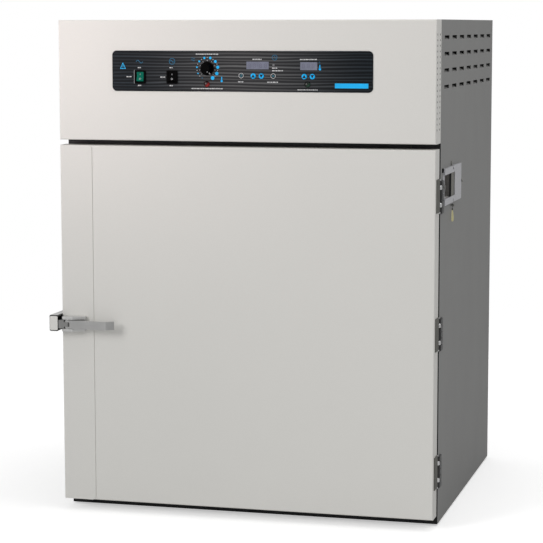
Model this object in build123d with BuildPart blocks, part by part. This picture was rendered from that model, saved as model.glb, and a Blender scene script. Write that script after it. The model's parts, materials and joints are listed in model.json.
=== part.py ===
from build123d import *
import os

# Laboratory heating and incubating cabinet with a hood of controls over one side-hinged door.
# +X is the right of a person facing the door, +Y goes into the cabinet, +Z is up.
# The origin is on the floor under the middle of the cabinet. All values are millimetres.

# ---------------------------------------------------------------- driving dimensions
WIDTH = 930.0  # cabinet, hood and door
DEPTH = 855.0  # front plane of the door and hood to the rear panel
HEIGHT = 1210.0  # floor to the top of the hood
SHEET = 1.5  # painted steel sheet
SKIN = 1.2  # stainless sheet of the chamber

HALF = WIDTH / 2
FRONT = -DEPTH / 2  # front plane of the door and the hood
BACK = DEPTH / 2
FACE = FRONT + 60.0  # front plane of the cabinet behind the door
FOOT = 4.0  # clear height under the cabinet

HOOD_LOW = 921.0
DOOR_LOW = 27.0
DOOR_HIGH = 908.0
DOOR_THICK = 46.0
DOOR_BACK = FRONT + DOOR_THICK

# chamber, measured on the outside of its liner
CHAMBER_HALF = 394.5
CHAMBER_DEPTH = 650.0
CHAMBER_LOW = 90.0
CHAMBER_HIGH = 850.0
CHAMBER_BACK = FACE + CHAMBER_DEPTH
FLANGE = 11.0  # front flange of each side panel
FRAME_DEPTH = 25.0  # turned-in depth of the black front frame
DUCT_HALF = 360.0  # half distance between the duct walls
DUCT_FRONT = FACE + 12.0
BAFFLE_Z = 755.0
SHELF_LEVELS = {"shelf_lower": 250.0, "shelf_middle": 420.0, "shelf_upper": 590.0}
STANDARD_Y = (FACE + 90.0, FACE + 560.0)

BLOWER_Y = FACE + 325.0
PROBES = ((150.0, FACE + 590.0, 3.0), (180.0, FACE + 590.0, 4.0))  # x, y, radius
HEATER_RADIUS = 4.0
HEATER_Z = 800.0
HEATER_HALF_X = 280.0
HEATER_HALF_Y = 230.0
HEATER_GAP = 40.0  # half distance between the two ends of the heater

# louvres in the side panels
LOUVRE_LENGTH, LOUVRE_HEIGHT = 67.0, 11.5
LOUVRE_COLUMNS, LOUVRE_ROWS = 7, 4
LOUVRE_PITCH_Y, LOUVRE_PITCH_Z = 108.0, 39.0
LOUVRE_FIRST_Y = FRONT + 103.0
LOUVRE_LOW_Z = 1050.0

# slide vent on the right-hand side
VENT_Y = (FRONT + 93.0, FRONT + 325.0)
VENT_Z = (770.0, 858.0)
VENT_WINDOW_Y = (FRONT + 110.0, FRONT + 232.0)
VENT_WINDOW_Z = (785.0, 844.0)
SHUTTER_Y = (FRONT + 171.0, FRONT + 295.0)
TAG_Z = 762.5

# control panel: centres are (x, z) on the hood's front
PANEL_CENTRE, PANEL_SIZE, PANEL_CORNER = (-6.0, 1088.5), (642.0, 97.0), 11.0
PANEL_THICK = 1.2
PANEL_FACE = FRONT - PANEL_THICK
ROCKERS = {"power_rocker": (-256.0, 1074.0), "heat_rocker": (-176.0, 1074.0)}
ROCKER_TILT = -9.0  # the upper end is pressed in at rest
ROCKER_Y = FRONT + 4.0
BEZEL_BODY = (21.8, 27.8)
KNOB = (-88.0, 1094.9)
LAMPS = ((-89.5, 1058.2), (157.5, 1058.5))
WINDOWS = ((35.9, 1102.6, 54.4, 17.8), (160.6, 1101.4, 41.2, 18.6))  # x, z, width, height
BUTTONS = {
    "timer_reset_button": (-4.0, 1078.5),
    "timer_up_button": (25.2, 1077.7),
    "timer_down_button": (45.2, 1077.7),
    "timer_start_button": (74.5, 1077.9),
    "temperature_up_button": (149.8, 1077.0),
    "temperature_down_button": (169.4, 1077.0),
}
BUTTON_RADIUS = 6.2
BUTTON_TRAVEL = 1.0

# hinges on the right-hand side: one vertical axis in the gap behind the door
HINGE_X, HINGE_Y = HALF, FRONT + 53.0
HINGE_LEVELS = (135.0, 468.0, 796.5)
HINGE_HALF = 41.0
DOOR_LEAF = (-36.8, 41.8)  # lower and upper end of each leaf from the middle of its pin
CABINET_LEAF = (-43.0, 35.5)
CABINET_LEAF_WIDTH = 38.0
LEAF = 2.5
KNUCKLE_RADIUS, HINGE_PIN_RADIUS, RUNNING = 4.4, 2.2, 0.05

# latch on the left-hand side of the door
LATCH_Z = 469.5
LATCH_PIN_X, LATCH_PIN_Y = -443.5, FRONT - 24.0
LATCH_FRONT = FRONT - 30.0
LATCH_HUB, LATCH_PIN_RADIUS = 6.0, 2.5
LATCH_HALF = 10.0  # half height of the handle
TAB_HALF = 5.2  # half height of the tongue's eye
STRIKE_Z = (452.0, 492.0)
ROLLER_RADIUS = 5.5
STANDOFF = 38.0  # rear spacers reach as far behind as the latch handle reaches in front


# ---------------------------------------------------------------- shared geometry helpers
def at_x(x):
    """Sketch plane across X: local x is +Y and local y is +Z."""
    return Plane.YZ.offset(x)


def at_y(y):
    """Sketch plane that faces the front: local x is +X and local y is +Z."""
    return Plane.XZ.offset(-y)


def at_z(z):
    """Horizontal sketch plane."""
    return Plane.XY.offset(z)


def block(x, y, z, mode=Mode.ADD):
    """Box between two values on each axis, in the part that is being built."""
    (x0, x1), (y0, y1), (z0, z1) = sorted(x), sorted(y), sorted(z)
    with Locations(((x0 + x1) / 2, (y0 + y1) / 2, (z0 + z1) / 2)):
        Box(x1 - x0, y1 - y0, z1 - z0, mode=mode)


def rod(start, direction, radius, length, mode=Mode.ADD):
    """Round bar that starts at a point and runs along a direction."""
    with Locations(Plane(start, z_dir=direction)):
        Cylinder(radius, length, align=(Align.CENTER, Align.CENTER, Align.MIN), mode=mode)


def bore_services(low, high, shaft_radius):
    """Cuts the vertical holes for the blower shaft, the probes and the heater's two ends."""
    rod((0, BLOWER_Y, low), (0, 0, 1), shaft_radius, high - low, Mode.SUBTRACT)
    for x, y, radius in PROBES:
        rod((x, y, low), (0, 0, 1), radius, high - low, Mode.SUBTRACT)
    for x in (-HEATER_GAP, HEATER_GAP):
        start = (x, BLOWER_Y + HEATER_HALF_Y, low)
        rod(start, (0, 0, 1), HEATER_RADIUS, high - low, Mode.SUBTRACT)


def bore_controls(front, back):
    """Cuts the openings for the controls between two values of Y."""
    depth = (front, back)
    for x, z in ROCKERS.values():
        across = (x - BEZEL_BODY[0] / 2, x + BEZEL_BODY[0] / 2)
        block(across, depth, (z - BEZEL_BODY[1] / 2, z + BEZEL_BODY[1] / 2), Mode.SUBTRACT)
    for x, z, width, height in WINDOWS:
        up = (z - height / 2, z + height / 2)
        block((x - width / 2, x + width / 2), depth, up, Mode.SUBTRACT)
    rod((KNOB[0], front, KNOB[1]), (0, 1, 0), 5.0, back - front, Mode.SUBTRACT)
    for x, z in LAMPS:
        rod((x, front, z), (0, 1, 0), 5.5, back - front, Mode.SUBTRACT)
    for x, z in BUTTONS.values():
        rod((x, front, z), (0, 1, 0), BUTTON_RADIUS + 0.4, back - front, Mode.SUBTRACT)


# ---------------------------------------------------------------- outer cabinet
side_panels = []
for side, name in ((-1, "side_panel_left"), (1, "side_panel_right")):
    outside, inside = side * HALF, side * (HALF - SHEET)
    with BuildPart() as side_panel:
        block((outside, inside), (FACE, BACK), (FOOT, HEIGHT - SHEET))
        block((inside, side * (HALF - FLANGE)), (FACE, FACE + SHEET), (FOOT, HEIGHT - SHEET))
        with BuildSketch(at_x(outside)):
            first = LOUVRE_FIRST_Y + LOUVRE_LENGTH / 2
            middle_y = first + LOUVRE_PITCH_Y * (LOUVRE_COLUMNS - 1) / 2
            middle_z = LOUVRE_LOW_Z + LOUVRE_PITCH_Z * (LOUVRE_ROWS - 1) / 2
            with Locations((middle_y, middle_z)):
                with GridLocations(LOUVRE_PITCH_Y, LOUVRE_PITCH_Z, LOUVRE_COLUMNS, LOUVRE_ROWS):
                    Rectangle(LOUVRE_LENGTH, LOUVRE_HEIGHT)
        extrude(amount=-side * SHEET, mode=Mode.SUBTRACT)
        for column in range(LOUVRE_COLUMNS):
            start = LOUVRE_FIRST_Y + column * LOUVRE_PITCH_Y
            with BuildSketch(at_y(start)):
                for row in range(LOUVRE_ROWS):
                    low = LOUVRE_LOW_Z + row * LOUVRE_PITCH_Z - LOUVRE_HEIGHT / 2
                    tongue = ((0, 0), (0, 1.6), (8.0, 6.6), (9.0, 5.4), (SHEET, 0))
                    outline = [(outside - side * depth, low + up) for depth, up in tongue]
                    Polygon(*outline, align=None)
            extrude(amount=-LOUVRE_LENGTH)
        if side > 0:
            block((HALF - 3, HALF + 3), VENT_WINDOW_Y, VENT_WINDOW_Z, Mode.SUBTRACT)
    side_panel.part.label = name
    side_panels.append(side_panel)

with BuildPart() as hood:
    block((-HALF, HALF), (FRONT, FACE), (HOOD_LOW, HEIGHT))
    fillet(hood.faces().sort_by(Axis.Y)[0].edges(), 3.0)
    inner_z = (HOOD_LOW + SHEET, HEIGHT - SHEET)
    block((-HALF + SHEET, HALF - SHEET), (FRONT + SHEET, FACE), inner_z, Mode.SUBTRACT)
    bore_controls(FRONT - 1, FRONT + SHEET + 1)
    with BuildSketch(at_x(-HALF)):
        with Locations((FRONT + 27.5, 1064.5)):
            with GridLocations(35.0, 13.0, 2, 18):
                Circle(2.9)
    extrude(amount=WIDTH, mode=Mode.SUBTRACT)
hood.part.label = "hood"

with BuildPart() as top_cover:
    block((-HALF, HALF), (FACE, BACK), (HEIGHT - SHEET, HEIGHT))
top_cover.part.label = "top_cover"

INLET = (-300.0, 1010.0)
INLET_SIZE = (30.0, 24.0)
with BuildPart() as rear_panel:
    block((-HALF + SHEET, HALF - SHEET), (BACK - SHEET, BACK), (FOOT, HEIGHT - SHEET))
    with BuildSketch(at_y(BACK)):
        with Locations((60, 1090)):
            with GridLocations(70, 18, 8, 6):
                SlotOverall(48, 5)
        with Locations(INLET):
            Rectangle(*INLET_SIZE)
    extrude(amount=SHEET, mode=Mode.SUBTRACT)
rear_panel.part.label = "rear_panel"

with BuildPart() as rear_standoffs:
    with BuildSketch(at_z(450)):
        for x in (-300, 300):
            with Locations((x, BACK + STANDOFF / 2)):
                Trapezoid(90, STANDOFF, 60)
    extrude(amount=420)
    fillet(rear_standoffs.edges().filter_by(Axis.Z).group_by(Axis.Y)[-1], 4.0)
    with BuildSketch(at_z(450)):
        for x in (-300, 300):
            with Locations((x, BACK + STANDOFF / 2 - SHEET)):
                Trapezoid(86, STANDOFF, 60)
    extrude(amount=420, mode=Mode.SUBTRACT)
    for x in (-300, 300):
        for side in (-1, 1):
            block((x + side * 44, x + side * 62), (BACK, BACK + SHEET), (450, 870))
rear_standoffs.part.label = "rear_standoffs"

BASE_Y = (FACE + FRAME_DEPTH, BACK - SHEET)
BASE_TOP = 30.0
FOOT_X, FOOT_Y = 410.0, (FACE + 80.0, BACK - 55.0)
with BuildPart() as base_frame:
    block((-HALF + SHEET, HALF - SHEET), BASE_Y, (FOOT, BASE_TOP))
    inner_y = (BASE_Y[0] + SHEET, BASE_Y[1] - SHEET)
    inner_x = (-HALF + 2 * SHEET, HALF - 2 * SHEET)
    block(inner_x, inner_y, (FOOT, BASE_TOP - SHEET), Mode.SUBTRACT)
    for x in (-FOOT_X, FOOT_X):
        for y in FOOT_Y:
            near_wall = (x, (HALF - 2 * SHEET) * (1 if x > 0 else -1))
            block((x - 28, x + 28), (y - 28, y + 28), (10, 14))
            block(near_wall, (y - 28, y + 28), (10, 14))
            rod((x, y, 10), (0, 0, 1), 5.0, 4.0, Mode.SUBTRACT)
base_frame.part.label = "base_frame"

with BuildPart() as levelling_feet:
    for x in (-FOOT_X, FOOT_X):
        for y in FOOT_Y:
            rod((x, y, 0), (0, 0, 1), 21.0, 3.5)
            rod((x, y, 3.5), (0, 0, 1), 5.0, 20.5)
            with BuildSketch(at_z(14)):
                with Locations((x, y)):
                    RegularPolygon(9.8, 6)
            extrude(amount=6)
    fillet(levelling_feet.edges().group_by(Axis.Z)[0], 1.0)
levelling_feet.part.label = "levelling_feet"

# black front frame round the chamber mouth: two jambs, a head rail and a toe rail
JAMB_X = (CHAMBER_HALF, HALF - FLANGE)
RAIL_HALF = CHAMBER_HALF - 0.6
with BuildPart() as front_frame:
    for side in (-1, 1):
        near, far = side * JAMB_X[0], side * JAMB_X[1]
        block((near, far), (FACE, FACE + SHEET), (FOOT, HOOD_LOW))
        block((near, near + side * SHEET), (FACE, FACE + FRAME_DEPTH), (FOOT, HOOD_LOW))
        block((far - side * SHEET, far), (FACE, FACE + FRAME_DEPTH), (FOOT, HOOD_LOW))
    across = (-RAIL_HALF, RAIL_HALF)
    for low, high in ((CHAMBER_HIGH, HOOD_LOW), (FOOT, CHAMBER_LOW)):
        block(across, (FACE, FACE + SHEET), (low, high))
        block(across, (FACE, FACE + FRAME_DEPTH), (low, low + SHEET))
        block(across, (FACE, FACE + FRAME_DEPTH), (high - SHEET, high))
front_frame.part.label = "front_frame"

with BuildPart() as compartment_floor:
    span = (-HALF + SHEET, HALF - SHEET)
    block(span, (FACE + SHEET, BACK - SHEET), (HOOD_LOW, HOOD_LOW + SHEET))
    bore_services(HOOD_LOW, HOOD_LOW + SHEET, 15.0)
compartment_floor.part.label = "compartment_floor"

# ---------------------------------------------------------------- chamber
SLEEVE_Y = (VENT_WINDOW_Y[0] + 0.5, VENT_WINDOW_Y[1] - 0.5)
SLEEVE_Z = (VENT_WINDOW_Z[0] + 0.5, VENT_WINDOW_Z[1] - 0.5)
with BuildPart() as chamber_liner:
    outer_x = (-CHAMBER_HALF, CHAMBER_HALF)
    block(outer_x, (FACE, CHAMBER_BACK), (CHAMBER_LOW, CHAMBER_HIGH))
    inner_x = (-CHAMBER_HALF + SKIN, CHAMBER_HALF - SKIN)
    inner_z = (CHAMBER_LOW + SKIN, CHAMBER_HIGH - SKIN)
    block(inner_x, (FACE, CHAMBER_BACK - SKIN), inner_z, Mode.SUBTRACT)
    bore_services(CHAMBER_HIGH - SKIN, CHAMBER_HIGH, 8.0)
    block((CHAMBER_HALF - 3, CHAMBER_HALF + 3), SLEEVE_Y, SLEEVE_Z, Mode.SUBTRACT)
chamber_liner.part.label = "chamber_liner"

with BuildPart() as insulation_blanket:
    outer_x = (-HALF + SHEET, HALF - SHEET)
    block(outer_x, (FACE + FRAME_DEPTH, CHAMBER_BACK + 62), (BASE_TOP, HOOD_LOW))
    cavity_x = (-CHAMBER_HALF, CHAMBER_HALF)
    cavity_z = (CHAMBER_LOW, CHAMBER_HIGH)
    block(cavity_x, (FACE + FRAME_DEPTH, CHAMBER_BACK), cavity_z, Mode.SUBTRACT)
    bore_services(CHAMBER_HIGH, HOOD_LOW, 15.0)
    block((CHAMBER_HALF, HALF), SLEEVE_Y, SLEEVE_Z, Mode.SUBTRACT)
insulation_blanket.part.label = "insulation_blanket"

INNER_HALF = CHAMBER_HALF - SKIN
with BuildPart() as ceiling_baffle:
    plate_y = (DUCT_FRONT, CHAMBER_BACK - SKIN)
    block((-DUCT_HALF, DUCT_HALF), plate_y, (BAFFLE_Z, BAFFLE_Z + SKIN))
    lip_z = (BAFFLE_Z + SKIN, CHAMBER_HIGH - SKIN)
    block((-INNER_HALF, INNER_HALF), (DUCT_FRONT, DUCT_FRONT + SKIN), lip_z)
    rod((0, BLOWER_Y, BAFFLE_Z), (0, 0, 1), 75.0, SKIN, Mode.SUBTRACT)
    for x, y, radius in PROBES:
        rod((x, y, BAFFLE_Z), (0, 0, 1), radius, SKIN, Mode.SUBTRACT)
ceiling_baffle.part.label = "ceiling_baffle"

with BuildPart() as duct_walls:
    wall_z = (CHAMBER_LOW + SKIN, BAFFLE_Z + SKIN)
    for side in (-1, 1):
        near, far = side * DUCT_HALF, side * (DUCT_HALF + SKIN)
        block((near, far), (DUCT_FRONT, CHAMBER_BACK - SKIN), wall_z)
        block((far, side * INNER_HALF), (DUCT_FRONT, DUCT_FRONT + SKIN), wall_z)
    with BuildSketch(at_x(-DUCT_HALF - SKIN)):
        with Locations(((DUCT_FRONT + CHAMBER_BACK) / 2, (CHAMBER_LOW + BAFFLE_Z) / 2)):
            with GridLocations(58.0, 62.0, 8, 9):
                Circle(5.0)
    extrude(amount=2 * (DUCT_HALF + SKIN), mode=Mode.SUBTRACT)
duct_walls.part.label = "duct_walls"

STANDARD_THICK = 2.5
with BuildPart() as shelf_standards:
    for side in (-1, 1):
        for y in STANDARD_Y:
            near, far = side * (DUCT_HALF - STANDARD_THICK), side * DUCT_HALF
            block((near, far), (y - 8, y + 8), (110, 740))
    with BuildSketch(at_x(-DUCT_HALF)):
        for y in STANDARD_Y:
            with Locations((y, 425)):
                with GridLocations(1, 25, 1, 24):
                    Rectangle(4, 12)
    extrude(amount=2 * DUCT_HALF, mode=Mode.SUBTRACT)
shelf_standards.part.label = "shelf_standards"

CLIP_FACE = DUCT_HALF - STANDARD_THICK
with BuildPart() as shelf_clips:
    for level in SHELF_LEVELS.values():
        for side in (-1, 1):
            for y in STANDARD_Y:
                back_x = (side * (CLIP_FACE - 1.5), side * CLIP_FACE)
                block(back_x, (y - 7, y + 7), (level - 16, level + 4))
                ledge_x = (side * (CLIP_FACE - 13), side * CLIP_FACE)
                block(ledge_x, (y - 7, y + 7), (level - 1.5, level))
shelf_clips.part.label = "shelf_clips"

# wire shelves: a frame of round bar with thinner bars laid from front to back
SHELF_HALF = 350.0
SHELF_Y = (FACE + 30.0, FACE + 630.0)
shelves = []
for name, level in SHELF_LEVELS.items():
    with BuildPart() as shelf:
        length = SHELF_Y[1] - SHELF_Y[0]
        for x in (-SHELF_HALF, SHELF_HALF):
            rod((x, SHELF_Y[0] - 3, level + 3), (0, 1, 0), 3.0, length + 6)
        for y in (SHELF_Y[0], SHELF_Y[0] + length / 3, SHELF_Y[1] - length / 3, SHELF_Y[1]):
            rod((-SHELF_HALF, y, level + 3), (1, 0, 0), 2.5, 2 * SHELF_HALF)
        wire_start = (0, SHELF_Y[0] - 1, level + 5)
        with Locations(Plane(wire_start, x_dir=(1, 0, 0), z_dir=(0, 1, 0))):
            with GridLocations(25.0, 1.0, 27, 1):
                Cylinder(1.5, length + 2, align=(Align.CENTER, Align.CENTER, Align.MIN))
    shelf.part.label = name
    shelves.append(shelf)

# ---------------------------------------------------------------- air path and heat
with BuildPart() as heater_element:
    back_y, front_y = BLOWER_Y + HEATER_HALF_Y, BLOWER_Y - HEATER_HALF_Y
    corners = [
        (-HEATER_GAP, back_y),
        (-HEATER_HALF_X, back_y),
        (-HEATER_HALF_X, front_y),
        (HEATER_HALF_X, front_y),
        (HEATER_HALF_X, back_y),
        (HEATER_GAP, back_y),
    ]
    with BuildLine(at_z(HEATER_Z)):
        FilletPolyline(*corners, radius=60.0)
    with BuildSketch(Plane((-HEATER_GAP, back_y, HEATER_Z), z_dir=(-1, 0, 0))):
        Circle(HEATER_RADIUS)
    sweep()
    for x in (-HEATER_GAP, HEATER_GAP):
        with Locations((x, back_y, HEATER_Z)):
            Sphere(HEATER_RADIUS)
        rod((x, back_y, HEATER_Z), (0, 0, 1), HEATER_RADIUS, 150.0)
heater_element.part.label = "heater_element"

MOTOR_LOW = HOOD_LOW + SHEET
SHAFT_RADIUS = 6.0
SHAFT_TOP = MOTOR_LOW + 40.0
with BuildPart() as blower_motor:
    with BuildSketch(at_z(MOTOR_LOW)):
        with Locations((0, BLOWER_Y)):
            RectangleRounded(160, 160, 12)
    extrude(amount=4)
    rod((0, BLOWER_Y, MOTOR_LOW), (0, 0, 1), 62.0, 95.0)
    fillet(blower_motor.edges().group_by(Axis.Z)[-1], 10.0)
    with Locations((0, BLOWER_Y, MOTOR_LOW + 50)):
        with PolarLocations(62.0, 24):
            Box(8, 2.5, 60)
    bore_length = SHAFT_TOP - MOTOR_LOW + 1
    rod((0, BLOWER_Y, MOTOR_LOW), (0, 0, 1), SHAFT_RADIUS + RUNNING, bore_length, Mode.SUBTRACT)
blower_motor.part.label = "blower_motor"

WHEEL_LOW, WHEEL_HIGH, WHEEL_RADIUS = 770.0, 815.0, 110.0
with BuildPart() as motor_shaft:
    shaft_low = WHEEL_LOW + 6
    rod((0, BLOWER_Y, shaft_low), (0, 0, 1), SHAFT_RADIUS, SHAFT_TOP - shaft_low)
motor_shaft.part.label = "motor_shaft"

with BuildPart() as blower_wheel:
    rod((0, BLOWER_Y, WHEEL_HIGH - SKIN), (0, 0, 1), WHEEL_RADIUS, SKIN)
    rod((0, BLOWER_Y, WHEEL_LOW + 6), (0, 0, 1), 17.0, WHEEL_HIGH - WHEEL_LOW - 6)
    rod((0, BLOWER_Y, WHEEL_LOW), (0, 0, 1), WHEEL_RADIUS, SKIN)
    rod((0, BLOWER_Y, WHEEL_LOW), (0, 0, 1), 82.0, SKIN, Mode.SUBTRACT)
    with Locations((0, BLOWER_Y, (WHEEL_LOW + WHEEL_HIGH) / 2)):
        with PolarLocations(94.0, 24):
            Box(26.0, 1.5, WHEEL_HIGH - WHEEL_LOW, rotation=(0, 0, 28))
    shaft_length = WHEEL_HIGH - WHEEL_LOW
    rod((0, BLOWER_Y, WHEEL_LOW), (0, 0, 1), SHAFT_RADIUS, shaft_length, Mode.SUBTRACT)
blower_wheel.part.label = "blower_wheel"

with BuildPart() as temperature_probes:
    for x, y, radius in PROBES:
        rod((x, y, 690), (0, 0, 1), radius, 250)
temperature_probes.part.label = "temperature_probes"

# ---------------------------------------------------------------- electrical parts
with BuildPart() as limit_thermostat:
    x, z = KNOB
    block((x - 22, x + 22), (FRONT + 14, FRONT + 46), (z - 18, z + 18))
    rod((x, FRONT, z), (0, 1, 0), 5.0, 14.0)
    rod((x, FRONT + SHEET, z), (0, 1, 0), 9.0, 4.0)
    rod((x, FRONT, z), (0, 1, 0), 3.0 + RUNNING, 24.0, Mode.SUBTRACT)
limit_thermostat.part.label = "limit_thermostat"

BOARD_Y = FRONT + 14.0
BUTTON_BACK = FRONT + 6.0
with BuildPart() as control_board:
    block((-30, 205), (BOARD_Y, BOARD_Y + 1.6), (1066, 1126))
    for x, z, width, height in WINDOWS:
        span = (x - width / 2 + 1, x + width / 2 - 1)
        block(span, (FRONT + 4, BOARD_Y), (z - height / 2 + 1, z + height / 2 - 1))
    for x, z in BUTTONS.values():
        rod((x, BUTTON_BACK + BUTTON_TRAVEL + 0.4, z), (0, 1, 0), 3.0, 6.6)
    for x in (-22, 197):
        for z in (1071, 1121):
            rod((x, FRONT + SHEET, z), (0, 1, 0), 3.0, BOARD_Y - FRONT - SHEET)
    block((60, 120), (BOARD_Y + 1.6, BOARD_Y + 26), (1080, 1115))
control_board.part.label = "control_board"

with BuildPart() as power_relay:
    deck = MOTOR_LOW
    block((-200, -140), (260, 350), (deck, deck + 45))
    for step in range(6):
        block((-330 + step * 18, -316 + step * 18), (270, 300), (deck + 3, deck + 26))
    block((-334, -200), (265, 305), (deck, deck + 3))
power_relay.part.label = "power_relay"

with BuildPart() as power_inlet:
    x, z = INLET
    block((x - 22, x + 22), (BACK, BACK + 3), (z - 17, z + 17))
    fillet(power_inlet.edges().filter_by(Axis.Y), 4.0)
    half_x, half_z = INLET_SIZE[0] / 2, INLET_SIZE[1] / 2
    block((x - half_x, x + half_x), (BACK - 30, BACK), (z - half_z, z + half_z))
    block((x - 12.5, x + 12.5), (BACK - 22, BACK + 3), (z - 9.5, z + 9.5), Mode.SUBTRACT)
    for pin_x, pin_z in ((-7, -2.5), (7, -2.5), (0, 3.5)):
        pin_across = (x + pin_x - 1, x + pin_x + 1)
        block(pin_across, (BACK - 23, BACK - 4), (z + pin_z - 2.5, z + pin_z + 2.5))
power_inlet.part.label = "power_inlet"

# ---------------------------------------------------------------- controls on the hood
with BuildPart() as control_overlay:
    with BuildSketch(at_y(FRONT)):
        with Locations(PANEL_CENTRE):
            RectangleRounded(*PANEL_SIZE, PANEL_CORNER)
    extrude(amount=PANEL_THICK)
    bore_controls(PANEL_FACE - 1, FRONT + 1)
control_overlay.part.label = "control_overlay"

PADDLE_HALF_X = 8.8
with BuildPart() as rocker_bezels:
    for x, z in ROCKERS.values():
        with BuildSketch(at_y(PANEL_FACE)):
            with Locations((x, z)):
                RectangleRounded(27.2, 31.7, 2.5)
        extrude(amount=2.5)
        body_x = (x - BEZEL_BODY[0] / 2, x + BEZEL_BODY[0] / 2)
        body_z = (z - BEZEL_BODY[1] / 2, z + BEZEL_BODY[1] / 2)
        block(body_x, (PANEL_FACE, FRONT + 24), body_z)
        open_x = (x - PADDLE_HALF_X - 0.4, x + PADDLE_HALF_X + 0.4)
        block(open_x, (PANEL_FACE - 3, FRONT + 16), (z - 12.6, z + 12.6), Mode.SUBTRACT)
        pivot = (x - PADDLE_HALF_X - 1.45, ROCKER_Y, z)
        rod(pivot, (1, 0, 0), 1.5 + RUNNING, 2 * PADDLE_HALF_X + 2.9, Mode.SUBTRACT)
rocker_bezels.part.label = "rocker_bezels"

rockers = []
for name, (x, z) in ROCKERS.items():
    with BuildPart() as rocker:
        with BuildSketch(at_x(x - PADDLE_HALF_X)):
            with Locations((ROCKER_Y, z)):
                paddle = ((-8.4, 11), (-6.4, 0), (-8.4, -11), (1.5, -11), (4.5, 0), (1.5, 11))
                Polygon(*paddle, rotation=ROCKER_TILT, align=None)
        extrude(amount=2 * PADDLE_HALF_X)
        rod((x - PADDLE_HALF_X - 1.1, ROCKER_Y, z), (1, 0, 0), 1.5, 2 * PADDLE_HALF_X + 2.2)
    rocker.part.label = name
    rockers.append(rocker)

KNOB_RADIUS = 16.2
POINTER_ANGLE = 150.0  # clockwise from the top, seen from the front
with BuildPart() as limit_knob:
    x, z = KNOB
    back = PANEL_FACE - 0.8
    rod((x, back, z), (0, -1, 0), KNOB_RADIUS, 4.0)
    fillet(limit_knob.edges().group_by(Axis.Y)[0], 1.2)
    with BuildSketch(at_y(back - 4.0)):
        with Locations((x, z)):
            Circle(11.5)
    extrude(amount=12.0, taper=4)
    fillet(limit_knob.edges().group_by(Axis.Y)[0], 1.2)
    with Locations(Plane((x, back - 11.0, z), z_dir=(0, -1, 0))):
        with PolarLocations(12.6, 16):
            Cylinder(1.6, 11.0, mode=Mode.SUBTRACT)
    rod((x, FRONT + 22, z), (0, -1, 0), 3.0, FRONT + 22 - back)
limit_knob.part.label = "limit_knob"

with BuildPart() as indicator_lamps:
    for x, z in LAMPS:
        rod((x, PANEL_FACE, z), (0, -1, 0), 7.0, 2.5)
    fillet(indicator_lamps.edges().group_by(Axis.Y)[0], 1.6)
    for x, z in LAMPS:
        rod((x, PANEL_FACE, z), (0, 1, 0), 5.5, 11.0)
indicator_lamps.part.label = "indicator_lamps"

with BuildPart() as display_windows:
    for x, z, width, height in WINDOWS:
        span = (x - width / 2, x + width / 2)
        block(span, (PANEL_FACE - 0.3, FRONT + SHEET), (z - height / 2, z + height / 2))
display_windows.part.label = "display_windows"

buttons = []
for name, (x, z) in BUTTONS.items():
    with BuildPart() as button:
        rod((x, PANEL_FACE - 1.6, z), (0, 1, 0), BUTTON_RADIUS, BUTTON_BACK - PANEL_FACE + 1.6)
        fillet(button.edges().group_by(Axis.Y)[0], 0.8)
    button.part.label = name
    buttons.append(button)

# ---------------------------------------------------------------- slide vent
PLATE_X = HALF + SHEET
RAIL_X = PLATE_X + 4.6
SHUTTER_Z = (VENT_Z[0] + 11.5, VENT_Z[1] - 10.5)
MARGIN_SCREW = 8.5  # from the plate's front edge to the screw on its margin
with BuildPart() as vent_plate:
    block((HALF, PLATE_X), VENT_Y, VENT_Z)
    block((HALF, PLATE_X), VENT_WINDOW_Y, VENT_WINDOW_Z, Mode.SUBTRACT)
    block((PLATE_X, RAIL_X), VENT_Y, (VENT_Z[0], SHUTTER_Z[0] - 0.6))
    block((PLATE_X, RAIL_X), VENT_Y, (SHUTTER_Z[1] + 0.6, VENT_Z[1]))
    block((RAIL_X - 1.5, RAIL_X), VENT_Y, (VENT_Z[0], SHUTTER_Z[0] + 4.5))
    block((RAIL_X - 1.5, RAIL_X), VENT_Y, (SHUTTER_Z[1] - 4.5, VENT_Z[1]))
    block((RAIL_X - 1.5, RAIL_X), (VENT_WINDOW_Y[1], VENT_Y[1]), VENT_Z)
    middle = sum(VENT_Y) / 2
    keyhole_z = (VENT_Z[1] - 9, VENT_Z[1] - 2.5)
    block((HALF, RAIL_X), (middle - 7, middle + 7), keyhole_z, Mode.SUBTRACT)
    block((PLATE_X, RAIL_X), (middle - 4, middle + 4), (VENT_Z[0], VENT_Z[0] + 9), Mode.SUBTRACT)
    rod((HALF, VENT_Y[0] + MARGIN_SCREW, sum(VENT_Z) / 2), (1, 0, 0), 2.0, SHEET, Mode.SUBTRACT)
vent_plate.part.label = "vent_plate"

SHUTTER_X = PLATE_X + 0.5
with BuildPart() as vent_shutter:
    block((SHUTTER_X, SHUTTER_X + 2), SHUTTER_Y, SHUTTER_Z)
    grip_y = (SHUTTER_Y[0], SHUTTER_Y[0] + 1.6)
    block((SHUTTER_X, SHUTTER_X + 5.2), grip_y, (SHUTTER_Z[0] + 5, SHUTTER_Z[1] - 5))
vent_shutter.part.label = "vent_shutter"

with BuildPart() as vent_sleeve:
    block((CHAMBER_HALF - SKIN, HALF), SLEEVE_Y, SLEEVE_Z)
    inner_y = (SLEEVE_Y[0] + SKIN, SLEEVE_Y[1] - SKIN)
    inner_z = (SLEEVE_Z[0] + SKIN, SLEEVE_Z[1] - SKIN)
    block((CHAMBER_HALF - SKIN, HALF), inner_y, inner_z, Mode.SUBTRACT)
vent_sleeve.part.label = "vent_sleeve"

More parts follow.
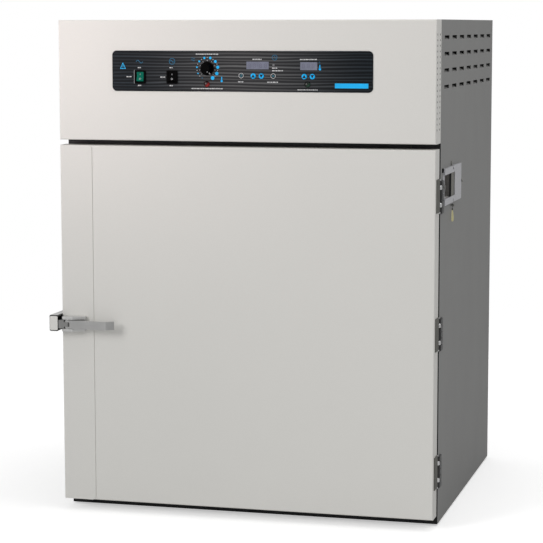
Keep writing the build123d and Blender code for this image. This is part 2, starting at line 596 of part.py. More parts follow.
HEAD_THICK = 3.2
HIGH_SEAT = PLATE_X + 4.5
VENT_SCREWS = (
    (sum(VENT_Y) / 2, VENT_Z[1] + 6.3, 5.5, HALF),
    (VENT_Y[1] + 6.3, sum(VENT_Z) / 2, 4.2, HIGH_SEAT),
    (VENT_Y[0] + MARGIN_SCREW, sum(VENT_Z) / 2, 4.5, PLATE_X),
    (sum(VENT_Y) / 2, TAG_Z, 3.6, HIGH_SEAT),
)  # y, z, head radius and where the head starts in x; the last screw carries the tag
with BuildPart() as vent_screws:
    for y, z, radius, seat in VENT_SCREWS:
        rod((HALF, y, z), (1, 0, 0), 2.0, seat - HALF + HEAD_THICK / 2)
        rod((seat, y, z), (1, 0, 0), radius, HEAD_THICK)
    rims = vent_screws.edges().filter_by(GeomType.CIRCLE).filter_by(lambda edge: edge.radius > 3)
    plain_rims = rims.filter_by_position(Axis.X, HALF + HEAD_THICK - 0.2, PLATE_X + HEAD_THICK + 0.2)
    high_rims = rims.filter_by_position(Axis.X, HIGH_SEAT + HEAD_THICK - 0.2, HIGH_SEAT + HEAD_THICK + 0.2)
    fillet(plain_rims + high_rims, 1.2)
    for y, z, radius, seat in VENT_SCREWS:
        top = seat + HEAD_THICK
        block((top - 1, top + 1), (y - 6, y + 6), (z - 0.6, z + 0.6), Mode.SUBTRACT)
vent_screws.part.label = "vent_screws"

with BuildPart() as service_tag:
    tag_x, tag_y = PLATE_X + 2.0, sum(VENT_Y) / 2
    with BuildSketch(at_x(tag_x)):
        with Locations((tag_y, TAG_Z)):
            Circle(3.6)
            Polygon((-0.6, 0), (0.6, 0), (0.6, -10), (-0.6, -10), align=None)
            Circle(2.35, mode=Mode.SUBTRACT)
    extrude(amount=0.9)
    with BuildSketch(at_y(tag_y + 0.4)):
        with Locations((tag_x + 0.45, TAG_Z)):
            Polygon((-0.9, -7.5), (0.9, -7.5), (2.6, -20), (3.9, -35), (2.8, -39.5),
                    (-1.2, -40.5), (-2.4, -36), (-1.7, -20), align=None)
    extrude(amount=0.8)
service_tag.part.label = "service_tag"

# ---------------------------------------------------------------- hinges
DOOR_KNUCKLE = (26.5, 36.8)
CABINET_KNUCKLE = 15.0
COLLAR = (15.4, 26.1)
with BuildPart() as hinge_cabinet_leaves:
    for level in HINGE_LEVELS:
        low, high = level - CABINET_KNUCKLE, level + CABINET_KNUCKLE
        leaf_z = (level + CABINET_LEAF[0], level + CABINET_LEAF[1])
        leaf_end = HINGE_Y + CABINET_LEAF_WIDTH
        block((HALF, HALF + LEAF), (HINGE_Y + 9, leaf_end), leaf_z)
        block((HALF, HALF + LEAF), (HINGE_Y, HINGE_Y + 9), (low, high))
        rod((HINGE_X, HINGE_Y, low), (0, 0, 1), KNUCKLE_RADIUS, high - low)
        for step in range(5):
            pad = leaf_z[0] + 1 + step * 15.7
            block((HALF, HALF + LEAF + 2), (HINGE_Y + 12, leaf_end - 2), (pad, pad + 13.7))
        rod((HINGE_X, HINGE_Y, low), (0, 0, 1), HINGE_PIN_RADIUS, high - low, Mode.SUBTRACT)
hinge_cabinet_leaves.part.label = "hinge_cabinet_leaves"

with BuildPart() as hinge_pins:
    for level in HINGE_LEVELS:
        rod((HINGE_X, HINGE_Y, level - HINGE_HALF), (0, 0, 1), HINGE_PIN_RADIUS, 2 * HINGE_HALF)
        for low in (level + COLLAR[0], level - COLLAR[1]):
            rod((HINGE_X, HINGE_Y, low), (0, 0, 1), 6.0, COLLAR[1] - COLLAR[0])
    fillet(hinge_pins.edges().filter_by(GeomType.CIRCLE).filter_by(
        lambda edge: edge.radius > 5), 2.5)
hinge_pins.part.label = "hinge_pins"

with BuildPart() as hinge_door_leaves:
    for level in HINGE_LEVELS:
        leaf_z = (level + DOOR_LEAF[0], level + DOOR_LEAF[1])
        block((HALF, HALF + LEAF), (FRONT + 8, HINGE_Y - 9), leaf_z)
        for side in (-1, 1):
            near, far = sorted((level + side * DOOR_KNUCKLE[0], level + side * DOOR_KNUCKLE[1]))
            block((HALF, HALF + LEAF), (HINGE_Y - 9, HINGE_Y), (near, far))
            rod((HINGE_X, HINGE_Y, near), (0, 0, 1), KNUCKLE_RADIUS, far - near)
            rod((HINGE_X, HINGE_Y, near), (0, 0, 1), HINGE_PIN_RADIUS + RUNNING, far - near,
                Mode.SUBTRACT)
hinge_door_leaves.part.label = "hinge_door_leaves"

# ---------------------------------------------------------------- door
STRIP_X = -383.0  # right-hand edge of the latch strip
SEAM = 1.6
STRIP_CORNER = 9.0
with BuildPart() as door_shell:
    block((-HALF, HALF), (FRONT, DOOR_BACK), (DOOR_LOW, DOOR_HIGH))
    fillet(door_shell.faces().sort_by(Axis.Y)[0].edges(), 3.0)
    inner_z = (DOOR_LOW + SHEET, DOOR_HIGH - SHEET)
    inner_x = (-HALF + 2 * SHEET, HALF - SHEET)
    block(inner_x, (FRONT + 2 * SHEET, DOOR_BACK), inner_z, Mode.SUBTRACT)
    with BuildSketch(at_y(FRONT)):
        with Locations((STRIP_X + SEAM, (DOOR_LOW + DOOR_HIGH) / 2)):
            RectangleRounded(240, DOOR_HIGH - DOOR_LOW + 2 * SEAM, STRIP_CORNER + SEAM,
                             align=(Align.MAX, Align.CENTER))
    extrude(amount=-SHEET, mode=Mode.SUBTRACT)
    block((-HALF, -HALF + SHEET), (FRONT, DOOR_BACK), (DOOR_LOW, DOOR_HIGH), Mode.SUBTRACT)
door_shell.part.label = "door_shell"

with BuildPart() as door_latch_strip:
    with BuildSketch(at_y(FRONT)):
        with Locations((STRIP_X, (DOOR_LOW + DOOR_HIGH) / 2)):
            RectangleRounded(240, DOOR_HIGH - DOOR_LOW, STRIP_CORNER,
                             align=(Align.MAX, Align.CENTER))
    extrude(amount=-DOOR_THICK)
    block((-700, -HALF), (FRONT - 1, DOOR_BACK), (DOOR_LOW, DOOR_HIGH), Mode.SUBTRACT)
    fillet(door_latch_strip.edges().group_by(Axis.X)[0].group_by(Axis.Y)[0], 3.0)
    block((-HALF + SHEET, STRIP_X + 1), (FRONT + SHEET, DOOR_BACK), (DOOR_LOW, DOOR_HIGH),
          Mode.SUBTRACT)
door_latch_strip.part.label = "door_latch_strip"

PAN_X = (-HALF + 2 * SHEET, HALF - SHEET)
PAN_Z = (DOOR_LOW + SHEET, DOOR_HIGH - SHEET)
BULGE_HALF, BULGE_Z, BULGE_BACK = 380.0, (103.0, 837.0), FACE + 8.0
with BuildPart() as door_inner_pan:
    block((-BULGE_HALF, BULGE_HALF), (DOOR_BACK - SHEET, BULGE_BACK), BULGE_Z)
    fillet(door_inner_pan.faces().sort_by(Axis.Y)[-1].edges(), 5.0)
    block(PAN_X, (DOOR_BACK - SHEET, DOOR_BACK), PAN_Z)
    hollow_x = (-BULGE_HALF + SKIN, BULGE_HALF - SKIN)
    hollow_z = (BULGE_Z[0] + SKIN, BULGE_Z[1] - SKIN)
    block(hollow_x, (DOOR_BACK - SHEET, DOOR_BACK + 12), hollow_z, Mode.SUBTRACT)
door_inner_pan.part.label = "door_inner_pan"

with BuildPart() as door_insulation:
    block(PAN_X, (FRONT + 2 * SHEET, DOOR_BACK - SHEET), PAN_Z)
    block(hollow_x, (DOOR_BACK - SHEET, DOOR_BACK + 12), hollow_z)
door_insulation.part.label = "door_insulation"

GASKET_OUTER = (868.0, 844.0)
GASKET_WIDTH = 16.0
with BuildPart() as door_gasket:
    with BuildSketch(at_y(DOOR_BACK)):
        with Locations((0, 468.0)):
            RectangleRounded(*GASKET_OUTER, 18)
            RectangleRounded(GASKET_OUTER[0] - 2 * GASKET_WIDTH,
                             GASKET_OUTER[1] - 2 * GASKET_WIDTH, 6, mode=Mode.SUBTRACT)
    extrude(amount=-(FACE - DOOR_BACK - 0.5))
    fillet(door_gasket.faces().sort_by(Axis.Y)[-1].edges(), 3.5)
door_gasket.part.label = "door_gasket"

# ---------------------------------------------------------------- latch
with BuildPart() as latch_base:
    with BuildSketch(at_z(LATCH_Z - 18.5)):
        Polygon((-457.5, FRONT), (-457.5, FRONT - 27), (-430, FRONT - 27), (-402, FRONT - 9),
                (-402, FRONT), align=None)
    extrude(amount=37.0)
    fillet(latch_base.edges().filter_by(Axis.Z).group_by(Axis.Y)[0], 5.0)
    low, high = LATCH_Z - 11.5, LATCH_Z + 11.5
    block((-470, -395), (FRONT - 40, FRONT - 5), (low, high), Mode.SUBTRACT)
    fillet(latch_base.faces().group_by(Axis.Z)[-1].edges(), 1.2)
    fillet(latch_base.faces().group_by(Axis.Z)[0].edges(), 1.2)
    pin_low = (LATCH_PIN_X, LATCH_PIN_Y, LATCH_Z - 19)
    rod(pin_low, (0, 0, 1), LATCH_PIN_RADIUS, 38, Mode.SUBTRACT)
latch_base.part.label = "latch_base"

with BuildPart() as latch_pin:
    pin_start = (LATCH_PIN_X, LATCH_PIN_Y, LATCH_Z - 18.5)
    rod(pin_start, (0, 0, 1), LATCH_PIN_RADIUS, 37)
latch_pin.part.label = "latch_pin"

BAR_THICK, LEAN_ANGLE, BEND_RADIUS, BEND_ANGLE = 7.0, 3.6, 12.0, 39.6
BAR_LENGTH, TIP_LENGTH = 99.0, 19.0
with BuildPart() as latch_handle:
    with BuildSketch(at_z(LATCH_Z - LATCH_HALF)):
        with BuildLine():
            bar_start = (LATCH_PIN_X, LATCH_FRONT)
            bar_face = PolarLine(bar_start, BAR_LENGTH, -LEAN_ANGLE)
            bend = JernArc(bar_face @ 1, bar_face % 1, BEND_RADIUS, BEND_ANGLE)
            PolarLine(bend @ 1, TIP_LENGTH, BEND_ANGLE - LEAN_ANGLE)
            offset(amount=BAR_THICK, side=Side.LEFT)
        make_face()
        with Locations((LATCH_PIN_X, LATCH_PIN_Y)):
            Circle(LATCH_HUB)
    extrude(amount=2 * LATCH_HALF)
    fillet(latch_handle.edges().filter_by(Axis.Z).group_by(Axis.X)[-1], 2.0)
    slot_x = (LATCH_PIN_X - 9, LATCH_PIN_X + 8)
    slot_y = (LATCH_FRONT - 5, LATCH_FRONT + 20)
    slot_z = (LATCH_Z - TAB_HALF - 0.4, LATCH_Z + TAB_HALF + 0.4)
    block(slot_x, slot_y, slot_z, Mode.SUBTRACT)
    eye_low = (LATCH_PIN_X, LATCH_PIN_Y, LATCH_Z - 12)
    rod(eye_low, (0, 0, 1), LATCH_PIN_RADIUS + RUNNING, 24, Mode.SUBTRACT)
latch_handle.part.label = "latch_handle"

with BuildPart() as latch_tongue:
    tongue_z = (LATCH_Z - LATCH_HALF, LATCH_Z + LATCH_HALF)
    block((-464, LATCH_PIN_X - 6.8), (LATCH_FRONT, FRONT - 7), tongue_z)
    notch_z = (LATCH_Z - 8.4, LATCH_Z + 8.4)
    block((-465, -458), (FRONT - 24, FRONT - 9), notch_z, Mode.SUBTRACT)
    eye_y = (LATCH_PIN_Y - LATCH_HUB, LATCH_PIN_Y + LATCH_HUB)
    block((LATCH_PIN_X - 8, LATCH_PIN_X), eye_y, (LATCH_Z - TAB_HALF, LATCH_Z + TAB_HALF))
    eye_low = (LATCH_PIN_X, LATCH_PIN_Y, LATCH_Z - TAB_HALF)
    rod(eye_low, (0, 0, 1), LATCH_HUB, 2 * TAB_HALF)
    rod(eye_low, (0, 0, 1), LATCH_PIN_RADIUS + RUNNING, 2 * TAB_HALF, Mode.SUBTRACT)
latch_tongue.part.label = "latch_tongue"

STRIKE_X = (-487.5, -465.6)
with BuildPart() as latch_strike:
    block(STRIKE_X, (LATCH_FRONT, FRONT + 70), STRIKE_Z)
    fillet(latch_strike.edges().filter_by(Axis.Y), 3.5)
    fillet(latch_strike.edges().group_by(Axis.Y)[0], 1.2)
    block((-471, -HALF), (FACE + 2, FACE + 54), (STRIKE_Z[0] - 8, STRIKE_Z[1] + 8))
    block((-484.5, -465), (LATCH_FRONT + 3, FRONT + 44), (STRIKE_Z[0] + 4, STRIKE_Z[1] - 4),
          Mode.SUBTRACT)
    for z in (STRIKE_Z[0] - 1, STRIKE_Z[1] + 1):
        with Locations(Plane((-471, FACE + 40, z), z_dir=(-1, 0, 0))):
            CounterSinkHole(2.2, 4.0, depth=6)
latch_strike.part.label = "latch_strike"

ROLLER_Y = FRONT - 16.0
with BuildPart() as strike_roller:
    roller_x = STRIKE_X[1] - 0.2 - ROLLER_RADIUS
    block((-484, roller_x), (ROLLER_Y - 7, ROLLER_Y + 7), (LATCH_Z - 9, LATCH_Z + 9))
    block((roller_x - 6.5, roller_x), (ROLLER_Y - 8, ROLLER_Y + 8), (LATCH_Z - 7.7, LATCH_Z + 7.7),
          Mode.SUBTRACT)
    rod((roller_x, ROLLER_Y, LATCH_Z - 7.4), (0, 0, 1), ROLLER_RADIUS, 14.8)
    rod((roller_x, ROLLER_Y, LATCH_Z - 9), (0, 0, 1), 2.0, 18)
strike_roller.part.label = "strike_roller"

# ---------------------------------------------------------------- files
pieces = [
    *side_panels, hood, top_cover, rear_panel, rear_standoffs, base_frame, levelling_feet,
    front_frame, compartment_floor, chamber_liner, insulation_blanket,
    ceiling_baffle, duct_walls, shelf_standards, shelf_clips, *shelves, heater_element,
    blower_motor, motor_shaft, blower_wheel, temperature_probes, limit_thermostat,
    control_board, power_relay, power_inlet, control_overlay, rocker_bezels, *rockers,
    limit_knob, indicator_lamps, display_windows, *buttons, vent_plate, vent_shutter,
    vent_sleeve, vent_screws, service_tag, hinge_cabinet_leaves, hinge_pins,
    hinge_door_leaves, door_shell, door_latch_strip, door_inner_pan, door_insulation,
    door_gasket, latch_base, latch_pin, latch_handle, latch_tongue, latch_strike,
    strike_roller,
]
os.makedirs("parts", exist_ok=True)
for piece in pieces:
    export_step(piece.part, f"parts/{piece.part.label}.step")
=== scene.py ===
import json
import math

import bmesh
import bpy
from mathutils import Matrix, Vector


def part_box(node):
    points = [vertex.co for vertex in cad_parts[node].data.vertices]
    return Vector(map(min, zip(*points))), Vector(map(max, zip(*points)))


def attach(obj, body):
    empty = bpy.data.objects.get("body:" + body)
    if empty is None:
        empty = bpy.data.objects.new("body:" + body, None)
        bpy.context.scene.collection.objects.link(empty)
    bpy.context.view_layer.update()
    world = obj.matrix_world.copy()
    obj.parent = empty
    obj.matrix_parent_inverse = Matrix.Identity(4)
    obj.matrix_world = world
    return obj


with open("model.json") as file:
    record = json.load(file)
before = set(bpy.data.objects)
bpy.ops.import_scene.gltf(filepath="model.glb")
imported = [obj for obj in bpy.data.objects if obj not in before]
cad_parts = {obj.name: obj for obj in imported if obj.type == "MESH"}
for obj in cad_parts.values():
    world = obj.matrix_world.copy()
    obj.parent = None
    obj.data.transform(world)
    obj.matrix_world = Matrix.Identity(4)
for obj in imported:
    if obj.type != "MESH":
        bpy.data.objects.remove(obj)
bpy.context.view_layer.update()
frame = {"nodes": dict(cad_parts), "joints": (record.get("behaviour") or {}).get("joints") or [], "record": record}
nodes = frame["nodes"]
joints = {joint["name"]: joint for joint in frame["joints"]}
scene = bpy.context.scene
scene.view_settings.view_transform = "Standard"

MM = 0.001
FAR = 9.0  # farther than any point of the cabinet, for a range that is open at one end


def middle(node):
    low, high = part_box(node)
    return (low + high) / 2


# ---------------------------------------------------------------- camera
camera_data = bpy.data.cameras.new("camera")
camera_data.lens = 131.8
camera_data.sensor_width = 36.0
camera_data.clip_end = 200.0
camera = bpy.data.objects.new("camera", camera_data)
scene.collection.objects.link(camera)
CAMERA_PLACE = Vector((1.2777, -4.989, 1.196))
YAW, PITCH, ROLL = math.radians(14.84), math.radians(90 - 7.05), math.radians(-0.077)
camera.matrix_world = (
    Matrix.Translation(CAMERA_PLACE)
    @ Matrix.Rotation(YAW, 4, "Z")
    @ Matrix.Rotation(PITCH, 4, "X")
    @ Matrix.Rotation(ROLL, 4, "Z")
)
scene.camera = camera


# ---------------------------------------------------------------- node materials
class Look:
    """A node material whose coordinates are metres, fixed to the object."""

    def __init__(self, name):
        self.material = bpy.data.materials.new(name)
        self.material.use_nodes = True
        self.tree = self.material.node_tree
        self.shader = self.tree.nodes["Principled BSDF"]
        self.place = self.tree.nodes.new("ShaderNodeTexCoord").outputs["Object"]
        self.normal = None

    def put(self, socket, value):
        """Links a socket to another, or sets its value."""
        if isinstance(value, bpy.types.NodeSocket):
            self.tree.links.new(value, socket)
        elif socket.type == "RGBA":
            socket.default_value = (*value, 1.0)
        else:
            socket.default_value = value

    def add(self, kind, inputs=(), output=0, **settings):
        """Adds a node and returns one of its outputs."""
        made = self.tree.nodes.new("ShaderNode" + kind)
        for key, value in settings.items():
            setattr(made, key, value)
        for key, value in dict(inputs).items():
            self.put(made.inputs[key], value)
        return made.outputs[output]

    def stretched(self, stretch):
        """Coordinates scaled along each axis: below 1 draws a pattern out, above 1 packs it."""
        return self.add("Mapping", {"Vector": self.place, "Scale": stretch})

    def noise(self, scale, stretch=(1, 1, 1), detail=2.0):
        """Noise of about 0.5 on average; scale is cells per metre."""
        vector = self.stretched(stretch)
        return self.add("TexNoise", {"Vector": vector, "Scale": scale, "Detail": detail})

    def cells(self, scale, output="Distance"):
        return self.add("TexVoronoi", {"Vector": self.place, "Scale": scale}, output=output)

    def span(self, value, low, high, to_low, to_high):
        """Maps a value from low..high to to_low..to_high, clamped."""
        inputs = {"Value": value, "From Min": low, "From Max": high,
                  "To Min": to_low, "To Max": to_high}
        return self.add("MapRange", inputs)

    def math(self, operation, first, second=0.0):
        return self.add("Math", {0: first, 1: second}, operation=operation)

    def mix(self, factor, first, second):
        return self.add("Mix", {0: factor, 6: first, 7: second}, output=2, data_type="RGBA")

    def bump(self, height, distance):
        """Adds relief of a height in metres on top of what is there."""
        inputs = {"Height": height, "Distance": distance, "Strength": 1.0}
        if self.normal:
            inputs["Normal"] = self.normal
        self.normal = self.add("Bump", inputs)

    def edges(self, radius, gain):
        """About 1 along the outer edges of a piece and 0 on its faces."""
        rounded = self.add("Bevel", {"Radius": radius}, samples=6)
        flat = self.add("NewGeometry", output="Normal")
        alike = self.add("VectorMath", {0: rounded, 1: flat}, output="Value",
                         operation="DOT_PRODUCT")
        return self.span(alike, 1.0, 1.0 - 1.0 / gain, 0.0, 1.0)

    def axis(self, letter):
        """One coordinate, in metres."""
        return self.add("SeparateXYZ", {0: self.place}, output=letter.upper())

    def inside(self, *ranges):
        """1 where each coordinate lies between its two limits, else 0."""
        found = 1.0
        for letter, low, high in ranges:
            value = self.axis(letter)
            found = self.math("MULTIPLY", found, self.math("GREATER_THAN", value, low))
            found = self.math("MULTIPLY", found, self.math("LESS_THAN", value, high))
        return found

    def zoned(self, body, zones):
        """body recoloured in each zone (a colour and the ranges it fills), and a mask of all zones."""
        covered = 0.0
        for tint, *ranges in zones:
            zone = self.inside(*ranges)
            body = self.mix(zone, body, tint)
            covered = self.math("MAXIMUM", covered, zone)
        return body, covered

    def finish(self, color, roughness, metallic=0.0, **inputs):
        """Connects the shader; further inputs are named after its sockets."""
        self.put(self.shader.inputs["Base Color"], color)
        self.put(self.shader.inputs["Roughness"], roughness)
        self.put(self.shader.inputs["Metallic"], metallic)
        for key, value in inputs.items():
            self.put(self.shader.inputs[key.replace("_", " ").title().replace("Ior", "IOR")], value)
        if self.normal:
            self.put(self.shader.inputs["Normal"], self.normal)
        return self.material


def scaled(color, factor):
    return tuple(c * factor for c in color)


def paint(name, color, grain, gloss, worn, handled=0.13, zones=()):
    """Textured powder coat: fine grain, slow orange peel, edges lightened partly as rubbed wear and partly as
    painted highlight, faint handling marks.
    """
    look = Look(name)
    fine = look.noise(grain, detail=3.0)
    peel = look.noise(grain / 5)
    broad = look.noise(2.2, detail=4.0)
    tone = look.mix(look.span(broad, 0.3, 0.7, 0.0, 1.0), scaled(color, 0.988), scaled(color, 1.012))
    speck = look.mix(look.span(fine, 0.3, 0.75, 0.0, 1.0), scaled(color, 0.93), scaled(color, 1.05))
    body = look.mix(0.45, tone, speck)
    # edges lightened, partly as rubbed wear and partly as painted highlight
    edge_rub_and_highlight = look.math("MULTIPLY", look.edges(0.0016, 5.0), look.span(look.noise(60), 0.35, 0.65, 0.25, 0.8))
    body = look.mix(edge_rub_and_highlight, body, worn)
    marks = look.span(look.noise(9.0, (1, 1, 0.5), detail=5.0), 0.35, 0.72, gloss, gloss + handled)
    body, _ = look.zoned(body, zones)
    look.bump(peel, 0.00004)
    look.bump(fine, 0.00003)
    return look.finish(body, marks, specular_ior_level=0.25)


def metal(name, color, roughness, streak=(1, 1, 1), grain=420, depth=0.00002, worn=None,
          metallic=1.0, zones=(), **inputs):
    """Bare or plated metal: drawn streaks, slight tarnish, brighter rubbed edges; zones are matt."""
    look = Look(name)
    lines = look.noise(grain, streak, detail=3.0)
    cloud = look.noise(14.0, detail=3.0)
    body = look.mix(look.span(cloud, 0.3, 0.7, 0.0, 1.0), scaled(color, 0.9), scaled(color, 1.04))
    body = look.mix(look.span(lines, 0.35, 0.65, 0.0, 0.35), body, scaled(color, 0.8))
    if worn:
        body = look.mix(look.math("MULTIPLY", look.edges(0.0009, 5.0), 0.7), body, worn)
    rough = look.span(look.math("ADD", lines, cloud), 0.7, 1.3, roughness * 0.8, roughness * 1.25)
    look.bump(lines, depth)
    body, matt = look.zoned(body, zones)
    shine = look.span(matt, 0.0, 1.0, metallic, 0.0) if zones else metallic
    return look.finish(body, rough, shine, **inputs)


def plastic(name, color, roughness, grain=900, depth=0.00002, specular_ior_level=0.3, zones=(), **inputs):
    """Moulded plastic or rubber with a fine spark-eroded grain and slightly polished edges."""
    look = Look(name)
    fine = look.noise(grain, detail=2.0)
    body = look.mix(look.span(look.noise(25.0, detail=3.0), 0.3, 0.7, 0.0, 1.0),
                    scaled(color, 0.88), scaled(color, 1.1))
    body = look.mix(look.math("MULTIPLY", look.edges(0.0006, 6.0), 0.35), body,
                    tuple(min(1.0, c * 1.6 + 0.004) for c in color))
    body, _ = look.zoned(body, zones)
    rough = look.span(fine, 0.3, 0.7, roughness * 0.85, roughness * 1.2)
    look.bump(fine, depth)
    return look.finish(body, rough, specular_ior_level=specular_ior_level, **inputs)


def spangled():
    """Zinc-coated sheet with its crystal pattern."""
    look = Look("galvanised")
    shade = look.add("SeparateColor", {0: look.cells(70.0, output="Color")})
    body = look.mix(look.span(shade, 0.0, 1.0, 0.0, 1.0), (0.40, 0.42, 0.44), (0.58, 0.60, 0.61))
    look.bump(look.noise(300), 0.00002)
    return look.finish(body, look.span(shade, 0.0, 1.0, 0.32, 0.5), 0.9)


def fibre(name="wool", shaded_front_y=None):
    """Mineral wool: matted yellow-brown fibres, black in front of a given depth as painted shade."""
    look = Look(name)
    lay = look.noise(90, (1, 1, 3), detail=6.0)
    hair = look.noise(600, (1, 4, 1), detail=4.0)
    body = look.mix(look.span(lay, 0.3, 0.7, 0.0, 1.0), (0.42, 0.36, 0.22), (0.72, 0.65, 0.46))
    if shaded_front_y is not None:
        body = look.mix(look.math("LESS_THAN", look.axis("y"), shaded_front_y), body, (0.012, 0.012, 0.012))
    look.bump(lay, 0.003)
    look.bump(hair, 0.0008)
    return look.finish(body, 0.95, sheen_weight=0.05)


def printed_film(centre_x, half_width):
    """Dark printed film with fine wavy lines that are lighter towards the middle."""
    look = Look("overlay")
    across = look.stretched((0.12, 1.0, 1.0))
    wave = look.add("TexWave", {"Vector": across, "Scale": 41.0, "Distortion": 5.5, "Detail": 1.5,
                                "Detail Scale": 0.8}, output="Fac", bands_direction="Z")
    broad = look.add("TexWave", {"Vector": across, "Scale": 15.0, "Distortion": 5.0, "Detail": 1.0,
                                 "Detail Scale": 0.9}, output="Fac", bands_direction="Z")
    offset = look.math("ABSOLUTE", look.math("SUBTRACT", look.axis("x"), centre_x))
    middle = look.add("MapRange", {"Value": offset, "From Min": 0.0, "From Max": half_width,
                                   "To Min": 1.0, "To Max": 0.0}, interpolation_type="SMOOTHSTEP")
    ground = look.mix(middle, (0.003, 0.005, 0.007), (0.031, 0.031, 0.033))
    bright = look.mix(middle, (0.022, 0.030, 0.038), (0.130, 0.131, 0.133))
    stripe = look.math("MULTIPLY", look.span(wave, 0.25, 0.95, 0.0, 1.0), look.span(broad, 0, 1, 0.45, 1.0))
    look.bump(look.noise(1500), 0.00001)
    body = look.mix(stripe, ground, bright)
    return look.finish(body, look.span(look.noise(40), 0.3, 0.7, 0.34, 0.46), specular_ior_level=0.1)


def lit_rocker():
    """Translucent green rocker with its lamp on: brightest around its middle, ribbed inside."""
    look = Look("green_rocker")
    rib = look.add("TexWave", {"Vector": look.place, "Scale": 95.0, "Distortion": 0.6}, output="Fac",
                   bands_direction="X")
    glow = look.mix(look.span(rib, 0.2, 0.8, 0.0, 1.0), (0.000, 0.062, 0.040), (0.001, 0.165, 0.108))
    look.bump(look.noise(700), 0.00002)
    return look.finish(glow, 0.45, emission_color=glow, emission_strength=0.12,
                       specular_ior_level=0.06)


def lamp_lens(centres, radius):
    """Domed lenses, dark with a painted glint of their colour low on the right: the first is red, the second
    green.
    """
    look = Look("lamp_lens")
    first, second = centres
    right = look.math("GREATER_THAN", look.axis("x"), 0.0)
    x_mid = look.math("ADD", first.x, look.math("MULTIPLY", right, second.x - first.x))
    du = look.math("SUBTRACT", look.axis("x"), x_mid)
    dv = look.math("SUBTRACT", look.axis("z"), first.z)
    # painted glint: each lens's colour brightens towards its lower right
    painted_glint = look.span(look.math("SUBTRACT", du, dv), -0.2 * radius, 1.1 * radius, 0.0, 1.0)
    red = look.mix(painted_glint, (0.018, 0.0015, 0.0012), (0.42, 0.012, 0.010))
    green = look.mix(painted_glint, (0.0015, 0.005, 0.003), (0.008, 0.060, 0.028))
    away = look.math("ADD", look.math("POWER", du, 2.0), look.math("POWER", dv, 2.0))
    dome = look.math("SUBTRACT", 1.0, look.math("DIVIDE", away, radius * radius))
    look.bump(dome, 0.0035)
    look.bump(look.cells(700.0), 0.00004)
    return look.finish(look.mix(right, red, green), 0.16, specular_ior_level=0.5)


def display_filter():
    """Lavender-grey display filter behind a slightly grained face."""
    look = Look("display_filter")
    cloud = look.span(look.noise(60, detail=3.0), 0.3, 0.7, 0.0, 1.0)
    body = look.mix(cloud, (0.160, 0.172, 0.230), (0.195, 0.208, 0.275))
    look.bump(look.noise(1800), 0.000008)
    return look.finish(body, look.span(look.noise(500), 0.3, 0.7, 0.24, 0.36), specular_ior_level=0.3)


def circuit_board():
    look = Look("board_green")
    trace = look.add("TexBrick", {"Vector": look.place, "Scale": 160.0, "Mortar Size": 0.06,
                                  "Color1": (0.010, 0.10, 0.045), "Color2": (0.015, 0.14, 0.06),
                                  "Mortar": (0.05, 0.30, 0.12)})
    look.bump(look.noise(800), 0.00003)
    return look.finish(trace, look.span(look.noise(90), 0.3, 0.7, 0.3, 0.5))


# the second colour of each paint lightens its edges: partly rubbed wear, partly painted highlight
LIGHT, LIGHT_RUB_AND_HIGHLIGHT = (0.745, 0.736, 0.704), (0.83, 0.82, 0.79)
GREY, GREY_RUB_AND_HIGHLIGHT = (0.265, 0.265, 0.260), (0.37, 0.37, 0.363)
BLUE = (0.003, 0.440, 0.900)
DARK, BLACK = (0.014, 0.014, 0.014), (0.004, 0.004, 0.004)
# painted light: the blue keys and the blue ink glow faintly, though they hold no lamp
BLUE_GLOW = 0.12

# domed lenses of the two lamps
LENS_RADIUS = 7.0 * MM
lamp_low, lamp_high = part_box("indicator_lamps")
lamp_level = (lamp_low.z + lamp_high.z) / 2
lamps = [Vector((x, 0, lamp_level)) for x in (lamp_low.x + LENS_RADIUS, lamp_high.x - LENS_RADIUS)]

# painted shade: the walls of the holes in the hood's side sheets are dark so the holes read dark; the sheets'
# outer skins are not
SKIN, SHEET, HOOD_BEND = 0.1 * MM, 1.45 * MM, 5.0 * MM
hood_low, hood_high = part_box("hood")
side_sheets = ((hood_low.x + SKIN, hood_low.x + SHEET), (hood_high.x - SHEET, hood_high.x - SKIN))
behind_bend = ("y", hood_low.y + HOOD_BEND, FAR)
shaded_hole_walls = [((0.035, 0.034, 0.032), ("x", *sheet), behind_bend) for sheet in side_sheets]

# shaded edge of the side panel next to the door
PANEL_EDGE = 2.0 * MM
panel_edge = (DARK, ("y", -FAR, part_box("side_panel_right")[0].y + PANEL_EDGE))

# hinges: black round the pins as painted shade in the gap at the knuckles, darker on the cabinet's leaf than on
# the door's
KNUCKLE = 9.2 * MM
hinge_y = middle("hinge_pins").y
hinge_zones = [((0.006, 0.006, 0.006), ("y", hinge_y - KNUCKLE, hinge_y + KNUCKLE)),
               ((0.085, 0.086, 0.086), ("y", hinge_y + KNUCKLE, FAR))]

# strike: dark rim round its light cap; black inner lip and black inside as painted shade, in the gap by the door
# and in its hollow
STRIKE_RIM, STRIKE_LIP, STRIKE_WALL = 1.3 * MM, 2.4 * MM, 2.8 * MM
POCKET_END, POCKET_MARGIN = 80.7 * MM, 11.6 * MM
strike_low, strike_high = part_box("latch_strike")
strike_zones = [
    ((0.030, 0.030, 0.030), ("y", -FAR, strike_low.y + STRIKE_RIM)),
    (BLACK, ("x", strike_high.x - STRIKE_LIP, FAR), ("y", -FAR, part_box("door_shell")[1].y)),
    (BLACK, ("x", strike_low.x + STRIKE_WALL, FAR),
     ("y", strike_low.y + STRIKE_WALL, strike_low.y + POCKET_END),
     ("z", strike_low.z + POCKET_MARGIN, strike_high.z - POCKET_MARGIN)),
]

